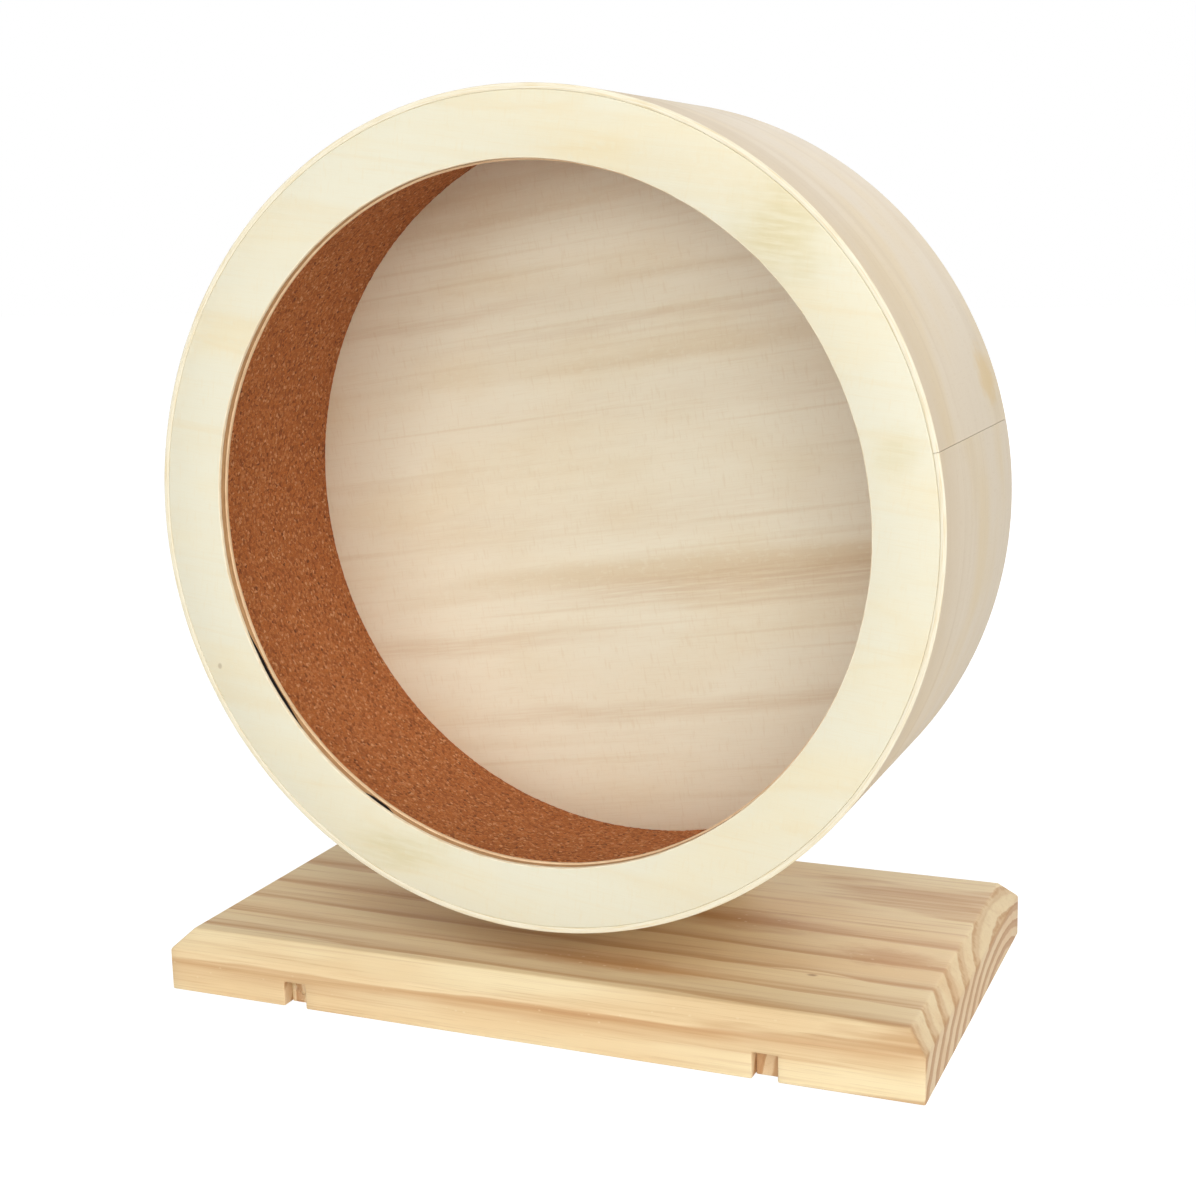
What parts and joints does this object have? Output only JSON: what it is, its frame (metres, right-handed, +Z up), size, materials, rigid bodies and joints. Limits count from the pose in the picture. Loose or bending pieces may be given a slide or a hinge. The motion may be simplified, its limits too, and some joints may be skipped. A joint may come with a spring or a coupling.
{
  "type": "hamster wheel",
  "caption": "Wooden running wheel for a hamster: a cork-lined plywood drum, open at the front, turning on a rear axle above a chamfered pine board.",
  "frame": {"origin": "centre of the base board's underside, on the surface that it stands on", "axes": "+Z up, -Y out of the open mouth of the drum, +X to the right seen from the front; the axle lies along Y at a height of 174 mm"},
  "size_m": [0.28, 0.1665, 0.314],
  "materials": {
    "pine": "sanded, unfinished pine with darker growth stripes",
    "batten_wood": "rough sawn softwood",
    "plywood": "sanded, unfinished pale plywood",
    "cork": "agglomerated cork, matt and granular",
    "zinc_steel": "zinc plated steel",
    "bearing_steel": "ground and polished bearing steel",
    "pressed_steel": "pressed steel ribbon",
    "seal_rubber": "black moulded rubber",
    "nylon": "pale nylon"
  },
  "bodies": {
    "stand": {"base_board": "pine", "left_batten": "batten_wood", "right_batten": "batten_wood", "upright": "pine", "upright_screws": "zinc_steel", "front_bearing_outer_race": "bearing_steel", "front_bearing_seals": "seal_rubber", "rear_bearing_outer_race": "bearing_steel", "rear_bearing_seals": "seal_rubber"},
    "wheel": {"front_ring": "plywood", "outer_band": "plywood", "cork_lining": "cork", "back_disc": "plywood", "hub_block": "plywood", "axle_bolt": "zinc_steel", "hub_washer": "zinc_steel", "bearing_spacer": "zinc_steel", "rear_washer": "zinc_steel", "lock_nut": "zinc_steel", "lock_nut_insert": "nylon", "front_bearing_inner_race": "bearing_steel", "rear_bearing_inner_race": "bearing_steel"},
    "front_cage": {"front_bearing_balls": "bearing_steel", "front_bearing_cage": "pressed_steel"},
    "rear_cage": {"rear_bearing_balls": "bearing_steel", "rear_bearing_cage": "pressed_steel"}
  },
  "joints": [
    {"name": "wheel_spin", "type": "hinge", "parent": "stand", "child": "wheel", "pos_m": [0, 0, 0.174], "axis": [0, 1, 0], "continuous": true},
    {"name": "front_cage_spin", "type": "hinge", "parent": "stand", "child": "front_cage", "pos_m": [0, 0.063, 0.174], "axis": [0, 1, 0], "continuous": true},
    {"name": "rear_cage_spin", "type": "hinge", "parent": "stand", "child": "rear_cage", "pos_m": [0, 0.074, 0.174], "axis": [0, 1, 0], "continuous": true}
  ],
  "couplings": [
    {"joint": "front_cage_spin", "follows": "wheel_spin", "ratio": 0.36767},
    {"joint": "rear_cage_spin", "follows": "wheel_spin", "ratio": 0.36767}
  ]
}
